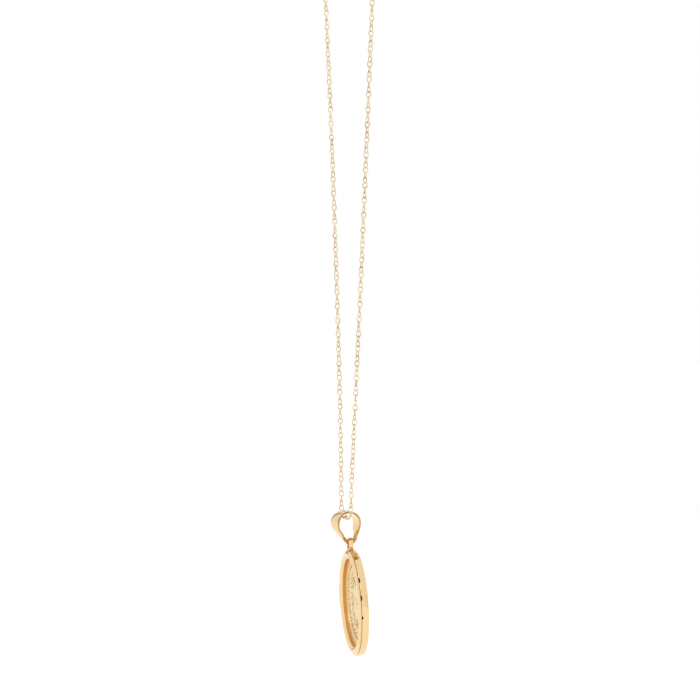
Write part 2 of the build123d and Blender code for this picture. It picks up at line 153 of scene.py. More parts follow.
def rounded(corners, steps=6):
    """A closed outline from (x, y, radius) corners, its corners turned into arcs."""
    outline = []
    count = len(corners)
    for k in range(count):
        before = Vector(corners[k - 1][:2])
        here = Vector(corners[k][:2])
        after = Vector(corners[(k + 1) % count][:2])
        radius = corners[k][2]
        if radius == 0:
            outline.append(tuple(here))
            continue
        back = (before - here).normalized()
        ahead = (after - here).normalized()
        half = back.angle(ahead) / 2
        reach = radius / math.tan(half)
        centre = here + (back + ahead).normalized() * radius / math.sin(half)
        start = here + back * reach - centre
        end = here + ahead * reach - centre
        turn = start.angle_signed(end)
        for step in range(steps + 1):
            outline.append(tuple(centre + Matrix.Rotation(-turn * step / steps, 2) @ start))
    return outline


def subdivided(outline, longest):
    """The outline with its long sides cut so that no side is longer than longest."""
    result = []
    for k, start in enumerate(outline):
        end = outline[(k + 1) % len(outline)]
        pieces = max(1, math.ceil(math.dist(start, end) / longest))
        for step in range(pieces):
            share = step / pieces
            result.append((start[0] + (end[0] - start[0]) * share,
                           start[1] + (end[1] - start[1]) * share))
    return result


def lathe(centre, axis, outline, segments=96, shape=None):
    """The outline of (radius, height) in mm turned about an axis, as points and faces."""
    on_locket_axis = abs(axis.dot(FRONT)) > 0.999
    first = SIDE if on_locket_axis else axis.orthogonal().normalized()
    second = UP if on_locket_axis else axis.cross(first)
    points = []
    for step in range(segments):
        angle = 2 * math.pi * step / segments
        out = first * math.cos(angle) + second * math.sin(angle)
        for radius, height in outline:
            if shape:
                radius, height = shape(radius, height, angle)
            points.append(centre + (out * radius + axis * height) * MM)
    return points, grid_faces(segments, len(outline), True, True)


def disc_lathe(outline, segments=288, shape=None):
    """An outline turned about the locket's own axis, its angles counted up from the catch."""
    return lathe(DISC_CENTRE, FRONT, outline, segments, shape)


def sweep(spine, section, closed=False):
    """Sections along a spine of (centre, right, up): section(k) gives the outline in mm there."""
    points = []
    for k, (centre, right, up) in enumerate(spine):
        for x, y in section(k):
            points.append(centre + (right * x + up * y) * MM)
    columns = len(section(0))
    faces = grid_faces(len(spine), columns, closed, True)
    if not closed:
        faces.append(tuple(range(columns)))
        last = (len(spine) - 1) * columns
        faces.append(tuple(last + k for k in reversed(range(columns))))
    return points, faces


def arc_spine(centre, radius, first, second, start=0.0, end=360.0, count=96):
    """Spine points on an arc, degrees from first towards second; radius in mm."""
    spine = []
    whole = end - start >= 360
    for step in range(count):
        share = step / count if whole else step / (count - 1)
        angle = math.radians(start + (end - start) * share)
        out = first * math.cos(angle) + second * math.sin(angle)
        spine.append((centre + out * radius * MM, out, first.cross(second)))
    return spine


def polar(radius, turn):
    return radius * math.cos(turn), radius * math.sin(turn)


def circle_section(radius, count=16):
    return [polar(radius, 2 * math.pi * k / count) for k in range(count)]


def band_section(thick, wide, edge, steps=5):
    """A flat band's outline with rounded corners."""
    return rounded([
        (-thick / 2, -wide / 2, edge), (thick / 2, -wide / 2, edge),
        (thick / 2, wide / 2, edge), (-thick / 2, wide / 2, edge),
    ], steps)


def jump_ring(centre, first, second, radius, wire):
    """A ring of round wire with the fine cut where it was closed."""
    count = 96
    shrunk_at_cut = {0: 0.9, 1: 0.97, count - 1: 0.97}
    spine = arc_spine(centre, radius, first, second, count=count)
    return sweep(spine, lambda k: circle_section(wire / 2 * shrunk_at_cut.get(k, 1.0)), closed=True)


def inset_ends(outline, count, bevel):
    """Outlines for a short straight bar of count sections whose two ends are bevelled."""
    middle_x = sum(point[0] for point in outline) / len(outline)
    middle_y = sum(point[1] for point in outline) / len(outline)
    reach = max(math.dist(point, (middle_x, middle_y)) for point in outline)
    share = 1 - bevel / reach
    small = [(middle_x + (x - middle_x) * share, middle_y + (y - middle_y) * share)
             for x, y in outline]
    return [small] + [outline] * (count - 2) + [small]


# -------------------- materials
# depths of surface marks, in metres
SCRATCH_DEPTH = 0.004 * MM
WAVER_DEPTH = 0.03 * MM
STIPPLE_DEPTH = 0.05 * MM
TURNING_DEPTH = 0.01 * MM


def node_material(name):
    """A new node material, its node tree and its shader."""
    material = bpy.data.materials.new(name)
    material.use_nodes = True
    return material, material.node_tree, material.node_tree.nodes["Principled BSDF"]


def metal_material(name):
    material, tree, shader = node_material(name)
    shader.inputs["Metallic"].default_value = 1.0
    return material, tree, shader


def connect(shader, name, socket):
    shader.id_data.links.new(socket, shader.inputs[name])


def coordinates(tree, kind="Object"):
    return tree.nodes.new("ShaderNodeTexCoord").outputs[kind]


def noise(tree, vector, scale, detail):
    texture = tree.nodes.new("ShaderNodeTexNoise")
    texture.inputs["Scale"].default_value = scale
    texture.inputs["Detail"].default_value = detail
    tree.links.new(vector, texture.inputs["Vector"])
    return texture.outputs["Fac"]


def stretched(tree, vector, scale, turn):
    mapping = tree.nodes.new("ShaderNodeMapping")
    mapping.inputs["Scale"].default_value = scale
    mapping.inputs["Rotation"].default_value = turn
    tree.links.new(vector, mapping.inputs["Vector"])
    return mapping.outputs["Vector"]


def ranged(tree, value, low, high, to_low=0, to_high=1):
    """A value between low and high, rescaled and held to the new range."""
    node = tree.nodes.new("ShaderNodeMapRange")
    node.inputs["From Min"].default_value = low
    node.inputs["From Max"].default_value = high
    node.inputs["To Min"].default_value = to_low
    node.inputs["To Max"].default_value = to_high
    tree.links.new(value, node.inputs["Value"])
    return node.outputs["Result"]


def mixed(tree, factor, first, second):
    """Two colours mixed by a factor; either may be a constant or a socket."""
    node = tree.nodes.new("ShaderNodeMix")
    node.data_type = "RGBA"
    tree.links.new(factor, node.inputs["Factor"])
    for socket, colour in ((node.inputs["A"], first), (node.inputs["B"], second)):
        if isinstance(colour, tuple):
            socket.default_value = (*colour, 1)
        else:
            tree.links.new(colour, socket)
    return node.outputs["Result"]


def bumped(tree, height, strength, distance, below=None):
    """A bump from a height, over the bump below it if there is one."""
    node = tree.nodes.new("ShaderNodeBump")
    node.inputs["Strength"].default_value = strength
    node.inputs["Distance"].default_value = distance
    tree.links.new(height, node.inputs["Height"])
    if below:
        tree.links.new(below, node.inputs["Normal"])
    return node.outputs["Normal"]


def vector_math(tree, operation, vector, constant=(0, 0, 0)):
    """A vector with a constant one; gives a number or a vector, as the operation does."""
    node = tree.nodes.new("ShaderNodeVectorMath")
    node.operation = operation
    node.inputs[1].default_value = tuple(constant)
    tree.links.new(vector, node.inputs[0])
    gives_number = operation in ("DOT_PRODUCT", "DISTANCE", "LENGTH")
    return node.outputs["Value" if gives_number else "Vector"]


def number_math(tree, operation, *values):
    """Numbers put through one operation; each may be a constant or a socket."""
    node = tree.nodes.new("ShaderNodeMath")
    node.operation = operation
    for socket, value in zip(node.inputs, values):
        if isinstance(value, float):
            socket.default_value = value
        else:
            tree.links.new(value, socket)
    return node.outputs["Value"]


def between_heights(tree, low, high):
    """0 to 1 between two heights in mm over the locket's parting plane."""
    level = vector_math(tree, "DOT_PRODUCT", coordinates(tree), FRONT)
    plane = DISC_CENTRE.dot(FRONT)
    return ranged(tree, level, plane + low * MM, plane + high * MM)


def recoloured(material, share, colour):
    """A finished gold turned to another colour where share is 1."""
    shader = material.node_tree.nodes["Principled BSDF"]
    clean = shader.inputs["Base Color"].links[0].from_socket
    connect(shader, "Base Color", mixed(material.node_tree, share, clean, colour))
    return material


def gold(name, colour, roughness, scratch=0.15, waver=0.5):
    """Polished gold: uneven polish, fine scratches and the soft waver of hand finishing."""
    material, tree, shader = metal_material(name)
    place = coordinates(tree)
    haze = noise(tree, place, 420, 3)
    connect(shader, "Roughness", ranged(tree, haze, 0.35, 0.75, roughness * 0.75, roughness * 1.5))
    redder = (colour[0], colour[1] * 0.95, colour[2] * 0.88)
    connect(shader, "Base Color", mixed(tree, haze, colour, redder))
    lines = stretched(tree, place, (1, 1, 0.06), (0.3, 0.2, 0.1))
    wear = bumped(tree, noise(tree, lines, 9000, 2), scratch, SCRATCH_DEPTH)
    connect(shader, "Normal", bumped(tree, noise(tree, place, 260, 1), waver, WAVER_DEPTH, wear))
    return material


def worn_gold(name, colour, dull_colour):
    """Polished gold with duller patches about as large as a chain link."""
    material = gold(name, colour, 0.12)
    tree = material.node_tree
    patches = ranged(tree, noise(tree, coordinates(tree), 700, 2), 0.45, 0.75)
    return recoloured(material, patches, dull_colour)


def shaded_edge_gold(name, colour, edge_shade_colour, axis):
    """Polished gold whose cut edges, the faces square to an axis, are a little rougher and carry
    painted shade in a warmer, darker colour.
    """
    material = gold(name, colour, 0.09)
    tree = material.node_tree
    shader = tree.nodes["Principled BSDF"]
    facing = vector_math(tree, "DOT_PRODUCT", coordinates(tree, "Normal"), axis)
    edge = ranged(tree, number_math(tree, "ABSOLUTE", facing), 0.62, 0.85)
    polish = shader.inputs["Roughness"].links[0].from_socket
    connect(shader, "Roughness", number_math(tree, "MULTIPLY_ADD", edge, 0.15, polish))
    # painted shade: the faces square to the axis take the darker edge colour
    return recoloured(material, edge, edge_shade_colour)


def groove_gold(name, colour, roughness):
    """Polished gold with painted shade, a dark brown, in the parting groove and the nail nicks."""
    material = gold(name, colour, roughness)
    tree = material.node_tree
    from_centre = vector_math(tree, "SUBTRACT", coordinates(tree), DISC_CENTRE)
    radius = vector_math(tree, "LENGTH", vector_math(tree, "CROSS_PRODUCT", from_centre, FRONT))
    sunk = ranged(tree, radius, (CASE_RADIUS - 0.03) * MM, (CASE_RADIUS - 0.16) * MM)
    outside = ranged(tree, radius, (WALL_INSIDE + 0.04) * MM, (WALL_INSIDE + 0.08) * MM)
    by_the_edge = between_heights(tree, -0.34, -0.26)
    under_the_top = between_heights(tree, -0.008, -0.02)
    groove_shade = by_the_edge
    for share in (sunk, outside, under_the_top):
        groove_shade = number_math(tree, "MULTIPLY", groove_shade, share)
    # painted shade darkens the sunk gold of the groove and the nicks
    return recoloured(material, groove_shade, (0.16, 0.10, 0.05))


def struck_gold(name, colour, low_colour, ground):
    """Die-struck gold: satin, stippled, with painted shade in the hollows near the ground height in
    mm, mottled by noise.
    """
    material, tree, shader = metal_material(name)
    place = coordinates(tree)
    height = between_heights(tree, ground, ground + 0.22)
    # painted shade in the low parts of the relief, its depth varied by noise
    shade_mottle = ranged(tree, noise(tree, place, 1100, 3), 0.4, 0.7)
    hollow = mixed(tree, shade_mottle, low_colour, colour)
    connect(shader, "Base Color", mixed(tree, height, hollow, colour))
    connect(shader, "Roughness", ranged(tree, height, 0, 1, 0.34, 0.16))
    grain = tree.nodes.new("ShaderNodeTexVoronoi")
    grain.inputs["Scale"].default_value = 4200
    tree.links.new(place, grain.inputs["Vector"])
    stipple = bumped(tree, grain.outputs["Distance"], 0.35, STIPPLE_DEPTH)
    connect(shader, "Normal", bumped(tree, noise(tree, place, 600, 2), 0.5, WAVER_DEPTH, stipple))
    return material


def turned_gold(name, colour, roughness, low_colour=None, low=0.0):
    """Gold turned on a lathe: fine rings about the locket's middle, paler below a height in mm."""
    material, tree, shader = metal_material(name)
    place = coordinates(tree)
    rings = noise(tree, vector_math(tree, "DISTANCE", place, DISC_CENTRE), 9000, 3)
    connect(shader, "Roughness", ranged(tree, rings, 0.3, 0.7, roughness * 0.7, roughness * 1.4))
    deeper = (colour[0] * 0.97, colour[1] * 0.9, colour[2] * 0.8)
    tone = mixed(tree, noise(tree, place, 300, 3), colour, deeper)
    if low_colour:
        tone = mixed(tree, between_heights(tree, low - 0.08, low + 0.08), low_colour, tone)
    connect(shader, "Base Color", tone)
    connect(shader, "Normal", bumped(tree, rings, 0.25, TURNING_DEPTH))
    return material


def steel():
    """Spring steel: grey and faintly streaked."""
    material, tree, shader = metal_material("spring_steel")
    streaks = noise(tree, coordinates(tree), 5000, 3)
    connect(shader, "Base Color", mixed(tree, streaks, (0.6, 0.6, 0.6), (0.45, 0.45, 0.47)))
    connect(shader, "Roughness", ranged(tree, streaks, 0.3, 0.7, 0.2, 0.4))
    return material


def paper():
    """Cream card with a round, clouded print that fades at its edge, and paper fibre."""
    material, tree, shader = node_material("photo_paper")
    place = coordinates(tree)
    cloud = noise(tree, place, 220, 4)
    print_colour = mixed(tree, cloud, (0.55, 0.36, 0.20), (0.92, 0.80, 0.60))
    from_middle = vector_math(tree, "DISTANCE", place, DISC_CENTRE - FRONT * 2 * MM)
    edge = ranged(tree, from_middle, 5.0 * MM, 6.8 * MM)
    fibre = noise(tree, place, 6000, 4)
    card = mixed(tree, fibre, (0.88, 0.78, 0.60), (0.95, 0.87, 0.70))
    connect(shader, "Base Color", mixed(tree, edge, print_colour, card))
    shader.inputs["Roughness"].default_value = 0.7
    connect(shader, "Normal", bumped(tree, fibre, 0.2, TURNING_DEPTH))
    return material


def glass():
    """Clear window with faint smears."""
    material, tree, shader = node_material("window")
    shader.inputs["Alpha"].default_value = 0.12
    shader.inputs["IOR"].default_value = 1.46
    shader.inputs["Base Color"].default_value = (0.97, 0.99, 0.98, 1)
    smear = noise(tree, coordinates(tree), 350, 3)
    connect(shader, "Roughness", ranged(tree, smear, 0.4, 0.8, 0.01, 0.07))
    return material


GOLD = (0.86, 0.66, 0.36)
polished_gold = gold("polished_gold", GOLD, 0.07)
wall_gold = groove_gold("wall_gold", GOLD, 0.12)
rim_gold = gold("rim_gold", GOLD, 0.12, scratch=0.6, waver=1.0)
# the bail's edge faces carry painted shade in a darker brown
bail_gold = shaded_edge_gold("bail_gold", (0.84, 0.63, 0.34), (0.60, 0.34, 0.13), ALONG)
chain_gold = worn_gold("chain_gold", (0.82, 0.69, 0.46), (0.50, 0.38, 0.22))
clasp_gold = gold("clasp_gold", (0.86, 0.68, 0.41), 0.10)
# the orange-brown of the ring's seat is painted shade
shaded_solder_gold = gold("shaded_solder_gold", (0.80, 0.50, 0.21), 0.2)
inside_gold = turned_gold("inside_gold", (0.84, 0.62, 0.32), 0.2)
# the recess wall's orange is painted shade on the rim's own gold, changing to a paler gold below
# -0.72 mm
recess_gold = turned_gold("recess_gold", (0.80, 0.46, 0.18), 0.3,
                          low_colour=(0.88, 0.68, 0.40), low=-0.72)
# the relief's low colour is painted shade in its hollows
relief_gold = struck_gold("relief_gold", (0.85, 0.68, 0.40), (0.42, 0.27, 0.10), PLATE_FACE)
spring_steel = steel()
photo_paper = paper()
window_glass = glass()


def add_piece(name, shape, material, body, *nodes, slot="gold"):
    """A finished piece: its material, the body it rides and the CAD nodes it stands for."""
    piece = make_mesh(name, *shape)
    piece.data.materials.append(material)
    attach(piece, body)
    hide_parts(*nodes)
    return piece


# -------------------- chain
# Route in mm: along the chain's plane, up from the foot of the strands, back from the plane.
CHAIN_TOP = 187.7
ROUTE = [
    (-4.69, 187.70, 0.00),
    (-7.70, 187.70, 0.00),
    (-13.4, 185.20, -0.04),
    (-18.2, 179.60, -0.10),
    (-20.9, 172.00, -0.18),
    (-21.4, 164.00, -0.26),
    (-19.5, 148.00, -0.36),
    (-16.1, 122.00, -0.42),
    (-10.5, 75.00, -0.30),
    (-5.30, 27.00, -0.66),
    (-3.60, 7.50, -0.98),
    (-3.26, 3.20, -1.02),
    (-3.16, 0.50, -1.05),
    (-2.60, -0.66, -1.05),
    (0.00, -0.50, -1.05),
    (2.60, -0.66, -1.05),
    (3.16, 0.50, -1.05),
    (3.26, 3.20, -1.02),
    (3.60, 7.50, -0.98),
    (5.30, 27.00, -0.66),
    (10.5, 75.00, -0.30),
    (16.1, 122.00, -0.42),
    (19.5, 148.00, -0.36),
    (21.4, 164.00, -0.26),
    (20.9, 172.00, -0.18),
    (18.2, 179.60, -0.10),
    (13.4, 185.20, -0.04),
    (7.70, 187.70, 0.00),
    (4.60, 187.70, 0.00),
]
LINK_LENGTH = 1.68
LINK_WIDTH = 1.20
LINK_WIRE = 0.26            # width of the wire, seen on the link's face
LINK_SHEET = 0.22           # its height off that face
LINK_EDGE = 0.08            # rounding of the wire's corners
LINK_ROLL = math.radians(60)
LINK_SWAY = math.radians(9)     # how unevenly the links lie
SWAY_STEP = 2.4             # radians from link to link
MAX_PITCH = 1.16


def route_line():
    """Points read along the route's smooth curve, in metres."""
    curve = bpy.data.curves.new("route", "CURVE")
    curve.dimensions = "3D"
    curve.resolution_u = 48
    spline = curve.splines.new("NURBS")
    spline.points.add(len(ROUTE) - 1)
    for point, (along, height, back) in zip(spline.points, ROUTE):
        place = ALONG * along * MM + Vector((0, back * MM, (height - CHAIN_TOP) * MM))
        point.co = (*place, 1)
    spline.order_u = 3
    spline.use_endpoint_u = True
    holder = bpy.data.objects.new("route", curve)
    bpy.context.scene.collection.objects.link(holder)
    read = bpy.data.meshes.new_from_object(holder)
    line = np.array([vertex.co for vertex in read.vertices])
    bpy.data.objects.remove(holder)
    bpy.data.meshes.remove(read)
    return line


def link_outline(steps=7):
    """The middle line of one link: (across, along, outward across, outward along)."""
    bend = (LINK_WIDTH - LINK_WIRE) / 2
    straight = (LINK_LENGTH - LINK_WIDTH) / 2
    outline = []
    for end, sign in ((0, 1), (1, -1)):
        for step in range(steps + 1):
            angle = math.pi * (end + step / steps)
            outline.append((bend * math.cos(angle), sign * straight + bend * math.sin(angle),
                            math.cos(angle), math.sin(angle)))
    return outline


def chain_links(line):
    """Every link of the chain, each turned about a sixth of a turn from the last."""
    steps = np.linalg.norm(np.diff(line, axis=0), axis=1)
    distance = np.concatenate([[0], np.cumsum(steps)])
    total = distance[-1]
    whole_turns = math.ceil((total / MM - LINK_LENGTH) / MAX_PITCH / 6)
    count = 6 * whole_turns + 1
    pitch = (total - LINK_LENGTH * MM) / (count - 1)
    outline = link_outline()
    section = band_section(LINK_WIRE, LINK_SHEET, LINK_EDGE, 2)
    link_faces = grid_faces(len(outline), len(section), True, True)
    points = []
    faces = []
    for index in range(count):
        at = LINK_LENGTH * MM / 2 + index * pitch
        before, middle, after = [
            Vector([np.interp(at + shift, distance, line[:, axis]) for axis in range(3)])
            for shift in (-pitch / 2, 0, pitch / 2)
        ]
        heading = (after - before).normalized()
        side = (ACROSS - heading * ACROSS.dot(heading)).normalized()
        roll = index * LINK_ROLL + LINK_SWAY * math.sin(SWAY_STEP * index)
        thick = side * math.cos(roll) + heading.cross(side) * math.sin(roll)
        wide = heading.cross(thick)
        start = len(points)
        for across, along, out_across, out_along in outline:
            for out, rise in section:
                points.append(middle + MM * (wide * (across + out_across * out)
                                             + heading * (along + out_along * out) + thick * rise))
        for face in link_faces:
            faces.append(tuple(start + corner for corner in face))
    return points, faces


line = route_line()
chain = add_piece("chain", chain_links(line), chain_gold, "necklace", "chain_left", "chain_right",
                  slot="chain_gold")

# -------------------- clasp
# radii in mm; angles in degrees round the clasp from the chain's direction towards the top
CLASP_RADIUS = 2.2
TUBE = 0.55
BORE = 0.38
MOUTH = (20, 76)
SLOT = (80, 148)
BOLT = 0.33
BOLT_ENDS = (14, 132)
KNOB_ANGLE = 88
KNOB_FOOT = 0.1
KNOB_STEM = 0.17
KNOB_NECK = 0.66
KNOB_BALL = 0.3
KNOB_MIDDLE = 0.94
KNOB_SQUASH = 0.9
SPRING_ENDS = (186, 276)
SPRING_TURNS = 16
SPRING_RADIUS = 0.27
SPRING_WIRE = 0.09
EYE_RADIUS = 0.65
EYE_WIRE = 0.35
EYE_SINK = 0.12
TAG_RADIUS = 1.6
TAG_WIRE = 0.45
CONNECTOR_RADIUS = 1.0
RING_REACH = 0.29           # a link's wire and some slack, from the chain's end to a ring in it
CLASP_UP = ACROSS.cross(ALONG)


def on_clasp(angle, out, side):
    """A point of the clasp: degrees round the ring, mm out from its middle line, mm sideways."""
    turn = math.radians(angle)
    radial = ALONG * math.cos(turn) + CLASP_UP * math.sin(turn)
    return CLASP_CENTRE + (radial * (CLASP_RADIUS + out) + ACROSS * side) * MM


def tube_mesh():
    """The ring's tube: open at the mouth, with a slot for the knob on its outer side."""
    columns = 36
    rows = (MOUTH[0] + 360 - MOUTH[1]) // 2 + 1
    angles = np.linspace(MOUTH[1], MOUTH[0] + 360, rows)
    points = []
    for radius in (TUBE, BORE):
        for i, angle in enumerate(angles):
            at_lip = i in (0, rows - 1) and radius == TUBE
            size = radius * (0.93 if at_lip else 1)
            for j in range(columns):
                turn = 2 * math.pi * (j + 0.5) / columns
                points.append(on_clasp(angle, *polar(size, turn)))
    slot_rows = [i for i in range(rows - 1) if SLOT[0] <= angles[i] < SLOT[1]]
    slot_columns = {columns - 3, columns - 2, columns - 1, 0, 1}

    def kept(i, j):
        return 0 <= i < rows - 1 and not (i in slot_rows and j % columns in slot_columns)

    inner = rows * columns
    faces = []
    for i in range(rows - 1):
        for j in range(columns):
            if not kept(i, j):
                continue
            near, far = i * columns, (i + 1) * columns
            j2 = (j + 1) % columns
            corners = [near + j, far + j, far + j2, near + j2]
            faces.append(tuple(corners))
            faces.append(tuple(inner + corner for corner in reversed(corners)))
            # where a neighbour is cut away, an end face joins the outside to the bore
            neighbours = [(i, j - 1), (i + 1, j), (i, j + 1), (i - 1, j)]
            for k, neighbour in enumerate(neighbours):
                if not kept(*neighbour):
                    start, end = corners[k], corners[(k + 1) % 4]
                    faces.append((start, end, inner + end, inner + start))
    return points, faces


def bolt_rod():
    """The sliding bolt: a round rod bent along the clasp's ring, its ends eased."""
    count = 48
    spine = arc_spine(CLASP_CENTRE, CLASP_RADIUS, ALONG, CLASP_UP, *BOLT_ENDS, count)
    across = [(centre, out, ACROSS) for centre, out, _ in spine]
    return sweep(across, lambda k: circle_section(BOLT * (0.75 if k in (0, count - 1) else 1), 20))


def knob():
    """The bolt's thumb knob: a stem with a flattened ball."""
    foot = on_clasp(KNOB_ANGLE, 0, 0)
    outline = [(NEAR_AXIS, KNOB_FOOT), (KNOB_STEM, KNOB_FOOT), (KNOB_STEM, KNOB_NECK)]
    for turn in np.radians(np.linspace(40, 180, 7)):
        outline.append((max(NEAR_AXIS, KNOB_BALL * math.sin(turn)),
                        KNOB_MIDDLE - KNOB_BALL * KNOB_SQUASH * math.cos(turn)))
    return lathe(foot, (foot - CLASP_CENTRE).normalized(), outline, 28)


def spring_coil():
    """The coil spring behind the bolt."""
    count = SPRING_TURNS * 14
    spine = []
    for k, angle in enumerate(np.linspace(*SPRING_ENDS, count)):
        turn = 2 * math.pi * SPRING_TURNS * k / count
        centre = on_clasp(angle, *polar(SPRING_RADIUS, turn))
        out = (centre - on_clasp(angle, 0, 0)).normalized()
        ring = math.radians(angle)
        heading = CLASP_UP * math.cos(ring) - ALONG * math.sin(ring)
        spine.append((centre, out, heading))
    return sweep(spine, lambda k: circle_section(SPRING_WIRE / 2, 6))


def clasp():
    """The spring ring, its bolt, spring and eye, and the rings at the chain's two ends."""
    clasp_x = CLASP_CENTRE.dot(ALONG) / MM
    tag_x = ROUTE[-1][0] + RING_REACH + TAG_WIRE / 2 - TAG_RADIUS
    eye_x = clasp_x - CLASP_RADIUS - TUBE - EYE_RADIUS - EYE_WIRE / 2 + EYE_SINK
    connector_x = ROUTE[0][0] - RING_REACH - EYE_WIRE / 2 + CONNECTOR_RADIUS
    eye_spine = arc_spine(ALONG * eye_x * MM, EYE_RADIUS, ALONG, CLASP_UP, count=64)
    eye_wire = circle_section(EYE_WIRE / 2)
    eye = sweep(eye_spine, lambda k: eye_wire, closed=True)
    flat = RISE.cross(ALONG)
    tag = jump_ring(ALONG * tag_x * MM, ALONG, flat, TAG_RADIUS, TAG_WIRE)
    connector = jump_ring(ALONG * connector_x * MM, ALONG, flat, CONNECTOR_RADIUS, EYE_WIRE)
    bolt = merged(bolt_rod(), knob())
    return [
        add_piece("clasp_tube", tube_mesh(), clasp_gold, "necklace", "clasp_body", slot="chain_gold"),
        add_piece("clasp_gate_bolt", bolt, clasp_gold, "clasp_gate", "clasp_bolt", slot="chain_gold"),
        add_piece("clasp_coil", spring_coil(), spring_steel, "necklace", "clasp_spring",
                  slot="spring_steel"),
        add_piece("clasp_loop", eye, clasp_gold, "necklace", "clasp_eye", slot="chain_gold"),
        add_piece("tag_jump_ring", tag, clasp_gold, "necklace", "tag_ring", slot="chain_gold"),
        add_piece("connector_jump_ring", connector, clasp_gold, "necklace", "connector_ring",
                  slot="chain_gold"),
    ]


clasp_pieces = clasp()

# -------------------- bail
BAIL_TOP = 3.15
BAIL_BOTTOM = 1.75
BAIL_BOTTOM_DROP = 3.45
BAIL_SHEET = 0.68
BAIL_EDGE = 0.07
BAIL_CROWN = 0.16
SEAT_RADIUS = 0.95
SEAT_DROP = 3.2
BAIL_UP = (BAIL_CENTRE - SEAT).normalized()
BAIL_BACK = ALONG.cross(BAIL_UP)
# half the band's width at heights above the bail's middle, foot to crown
BAND_HEIGHTS = [-5.2, -3.5, -3.4, -3.2, -2.8, -2.1, -1.0, 1.0, 2.4, 3.2]
BAND_WIDTHS = [0.40, 0.40, 0.56, 1.02, 1.60, 1.93, 2.15, 2.48, 2.36, 2.05]


def teardrop(angle, big, small, drop):
    """Distance from the bail's centre to a teardrop's outline, at an angle from straight up."""
    slope = math.asin((big - small) / drop)
    turn = abs(angle)
    if turn <= math.pi / 2 + slope:
        return big
    flat = big / math.sin(turn - slope)
    if flat * math.cos(turn) > -drop - small * math.sin(slope):
        return flat
    along = -drop * math.cos(turn)
    return along + math.sqrt(max(0.0, small * small - drop * drop + along * along))


def bail_mesh():
    """A band of sheet bent into a teardrop: crowned outside, edges rounded, slim at the foot."""
    around = 240
    lanes = 15
    lip = 5
    smoothings = 24
    angles = [2 * math.pi * step / around - math.pi for step in range(around)]
    outers = [teardrop(angle, BAIL_TOP, BAIL_BOTTOM, BAIL_BOTTOM_DROP) for angle in angles]
    inners = [teardrop(angle, BAIL_TOP - BAIL_SHEET, SEAT_RADIUS, SEAT_DROP) for angle in angles]
    widths = [np.interp(outer * math.cos(angle), BAND_HEIGHTS, BAND_WIDTHS)
              for outer, angle in zip(outers, angles)]
    for _ in range(smoothings):
        widths = [(widths[k - 1] + 2 * widths[k] + widths[(k + 1) % around]) / 4
                  for k in range(around)]
    points = []
    for angle, outer, inner, width in zip(angles, outers, inners, widths):
        reach = BAIL_BACK * math.sin(angle) + BAIL_UP * math.cos(angle)
        thick = outer - inner
        edge = min(BAIL_EDGE, width * 0.2)
        crown = BAIL_CROWN * min(1, width / 2)
        face = [-1 + 2 * lane / (lanes - 1) for lane in range(lanes)]
        ring = [(t * (width - edge), outer - crown * t * t) for t in face]
        side = []
        for k in range(1, lip):
            turn = math.pi * k / lip
            share = (1 - math.cos(turn)) / 2
            side.append((width - edge + edge * math.sin(turn) ** 0.35,
                         (outer - crown) * (1 - share) + inner * share))
        ring += side
        ring += [(-t * (width - edge), inner + min(0.05, thick * 0.1) * t * t) for t in face]
        ring += [(-x, radius) for x, radius in reversed(side)]
        points += [BAIL_CENTRE + (ALONG * x + reach * radius) * MM for x, radius in ring]
    return points, grid_faces(around, 2 * lanes + 2 * (lip - 1), True, True)


add_piece("bail_band", bail_mesh(), bail_gold, "bail", "bail")

# -------------------- hanging ring and its seat
RING_HOLE = 1.15
RING_SHEET = 0.55
RING_BAND = 1.05
RING_BACK = 0.36            # the ring's middle plane, behind the parting plane
SEAT_GAP = 0.15
SADDLE_BACK = 0.56
SADDLE_SPREAD = 8.0         # degrees either side of the top
SADDLE_THICK = 0.16
SADDLE_BAND = 1.0
SADDLE_LIFT = 0.07          # the pad's middle above the wall
SOLDER_SPREAD = 27.0
SOLDER_SUNK = 0.04
ring_up = (SEAT - DISC_CENTRE).dot(UP) / MM - (SEAT_RADIUS - SEAT_GAP + RING_HOLE)


def hanging_ring():
    """The flat ring that the bail runs through."""
    spine = arc_spine(on_disc(0, ring_up, -RING_BACK), RING_HOLE + RING_SHEET / 2, SIDE, UP)
    section = band_section(RING_SHEET, RING_BAND, 0.18)
    return sweep(spine, lambda k: section, closed=True)


def saddle():
    """The curved pad the ring stands on."""
    count = 28
    spine = arc_spine(on_disc(0, 0, -SADDLE_BACK), CASE_RADIUS + SADDLE_LIFT, SIDE, UP,
                      90 - SADDLE_SPREAD, 90 + SADDLE_SPREAD, count)
    sections = inset_ends(band_section(SADDLE_THICK, SADDLE_BAND, 0.06), count, 0.05)
    return sweep(spine, lambda k: sections[k])


def solder_fillet():
    """Solder drawn up round the ring's foot and run out to a point either way."""
    rows, columns = 65, 17
    run = math.radians(SOLDER_SPREAD) * CASE_RADIUS
    points = []
    for along in np.linspace(-1, 1, rows):
        turn = math.radians(90 + SOLDER_SPREAD * along)
        nearness = 1 - abs(along)
        half_width = 0.02 + 0.50 * nearness**0.7
        by_ring = math.exp(-((along * run / 0.9) ** 2))
        rise = 0.05 + 0.13 * nearness + 0.34 * by_ring
        for across in np.linspace(-1, 1, columns):
            radius = CASE_RADIUS - SOLDER_SUNK + rise * (1 - across * across) ** 0.6
            points.append(on_disc(*polar(radius, turn), -SADDLE_BACK + across * half_width))
    return points, grid_faces(rows, columns, False, False)


add_piece("hanging_ring_band", hanging_ring(), polished_gold, "case", "hanging_ring")
# the seat's orange-brown colour is painted shade
add_piece("saddle_pad", merged(saddle(), solder_fillet()), shaded_solder_gold, "case", "ring_saddle")

# -------------------- case
# nail nicks in the parting edge: degrees up from the catch, length and depth in mm
NICKS = [(32.4, 1.3, 0.5), (12.7, 1.2, 0.5), (-8.4, 0.6, 0.45)]
NICK_HEIGHT = 0.26
BACK_EDGE = 1.25            # where the side wall ends and its rounded back edge starts
BACK_ROUNDING = 0.5


